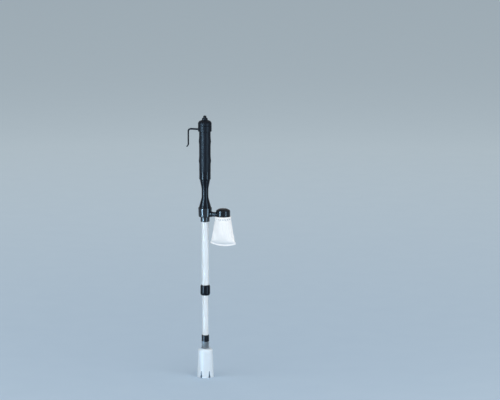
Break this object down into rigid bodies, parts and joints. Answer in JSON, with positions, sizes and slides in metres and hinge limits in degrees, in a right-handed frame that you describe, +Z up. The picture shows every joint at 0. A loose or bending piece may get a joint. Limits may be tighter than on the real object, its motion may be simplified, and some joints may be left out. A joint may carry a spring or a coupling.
{
  "type": "gravel vacuum",
  "caption": "Battery powered aquarium gravel vacuum: grip with hanging hook, pump in a waisted stem, side filter bag, telescopic clear tube with lock nut and slotted bell",
  "frame": {"origin": "on the axis of the tube, in the middle of the hand grip", "axes": "+Z runs up the tube to the button, +X to the outlet and the bag, -X to the hanging hook, -Y is the front"},
  "size_m": [0.1446, 0.0466, 0.736],
  "materials": {
    "black_plastic": "gloss moulded",
    "clear_plastic": "clear extruded",
    "milky_plastic": "milky clear moulded",
    "white_cloth": "woven",
    "black_rubber": "matt",
    "steel": "drawn",
    "brass": "stamped",
    "cell_case": "plain wrapped can",
    "grey_plastic": "matt moulded"
  },
  "bodies": {
    "handle": {"handle_tube": "black_plastic", "lower_handle": "black_plastic", "motor_can": "steel", "motor_end_bell": "grey_plastic", "motor_retainer": "grey_plastic", "positive_contact": "brass", "contact_strip": "brass", "battery_lower": "cell_case", "battery_upper": "cell_case", "bearing_plate": "grey_plastic", "shaft_seal": "black_rubber", "housing_seal": "black_rubber", "pump_housing": "black_plastic", "upper_tube": "clear_plastic", "collet_sleeve": "grey_plastic"},
    "cap_carrier": {"cap_seal": "black_rubber"},
    "cap": {"head_cap": "black_plastic", "switch_bezel": "black_plastic", "switch_body": "grey_plastic", "cap_spring": "steel"},
    "button": {"switch_button": "black_rubber"},
    "hook": {"hook_collar": "black_plastic"},
    "rotor": {"motor_shaft": "steel", "shaft_coupling": "brass", "drive_shaft": "steel", "impeller": "grey_plastic"},
    "nut_carrier": {"grip_ring": "black_rubber"},
    "nut": {"lock_nut": "black_plastic"},
    "lower": {"lower_tube": "clear_plastic", "tube_stop_ring": "grey_plastic", "nozzle_adapter": "black_plastic", "gravel_guard": "black_plastic", "intake_nozzle": "milky_plastic"},
    "bag_cap_carrier": {"outlet_seal": "black_rubber"},
    "bag_holder": {"bag_cap": "black_plastic"},
    "bag": {"filter_bag": "white_cloth", "bag_elastic": "black_rubber"}
  },
  "joints": [
    {"name": "cap_lift", "type": "slide", "parent": "handle", "child": "cap_carrier", "axis": [0, 0, 1], "range_m": [0, 0.0061]},
    {"name": "cap_turn", "type": "hinge", "parent": "cap_carrier", "child": "cap", "pos_m": [0, 0, 0.0785], "axis": [0, 0, 1], "range_deg": [0, 720]},
    {"name": "switch_press", "type": "slide", "parent": "cap", "child": "button", "axis": [0, 0, -1], "range_m": [0, 0.0025], "stiffness_N_per_m": 400},
    {"name": "hook_swivel", "type": "hinge", "parent": "handle", "child": "hook", "pos_m": [0, 0, 0.0627], "axis": [0, 0, 1], "range_deg": [-180, 180]},
    {"name": "rotor_spin", "type": "hinge", "parent": "handle", "child": "rotor", "pos_m": [0, 0, -0.17], "axis": [0, 0, 1], "continuous": true},
    {"name": "nut_shift", "type": "slide", "parent": "handle", "child": "nut_carrier", "axis": [0, 0, -1], "range_m": [0, 0.00102]},
    {"name": "nut_turn", "type": "hinge", "parent": "nut_carrier", "child": "nut", "pos_m": [0, 0, -0.391], "axis": [0, 0, -1], "range_deg": [0, 120]},
    {"name": "tube_slide", "type": "slide", "parent": "handle", "child": "lower", "axis": [0, 0, 1], "range_m": [-0.08, 0.105]},
    {"name": "bag_cap_pull", "type": "slide", "parent": "handle", "child": "bag_cap_carrier", "axis": [1, 0, 0], "range_m": [0, 0.03]},
    {"name": "bag_cap_swivel", "type": "hinge", "parent": "bag_cap_carrier", "child": "bag_holder", "pos_m": [0.0395, 0, -0.1762], "axis": [1, 0, 0], "range_deg": [-90, 90]},
    {"name": "bag_slip", "type": "slide", "parent": "bag_holder", "child": "bag", "axis": [0, 0, -1], "range_m": [0, 0.03]}
  ],
  "couplings": [
    {"joint": "cap_lift", "follows": "cap_turn", "m_per_rad": 0.00047746},
    {"joint": "nut_shift", "follows": "nut_turn", "m_per_rad": 0.00047746}
  ]
}
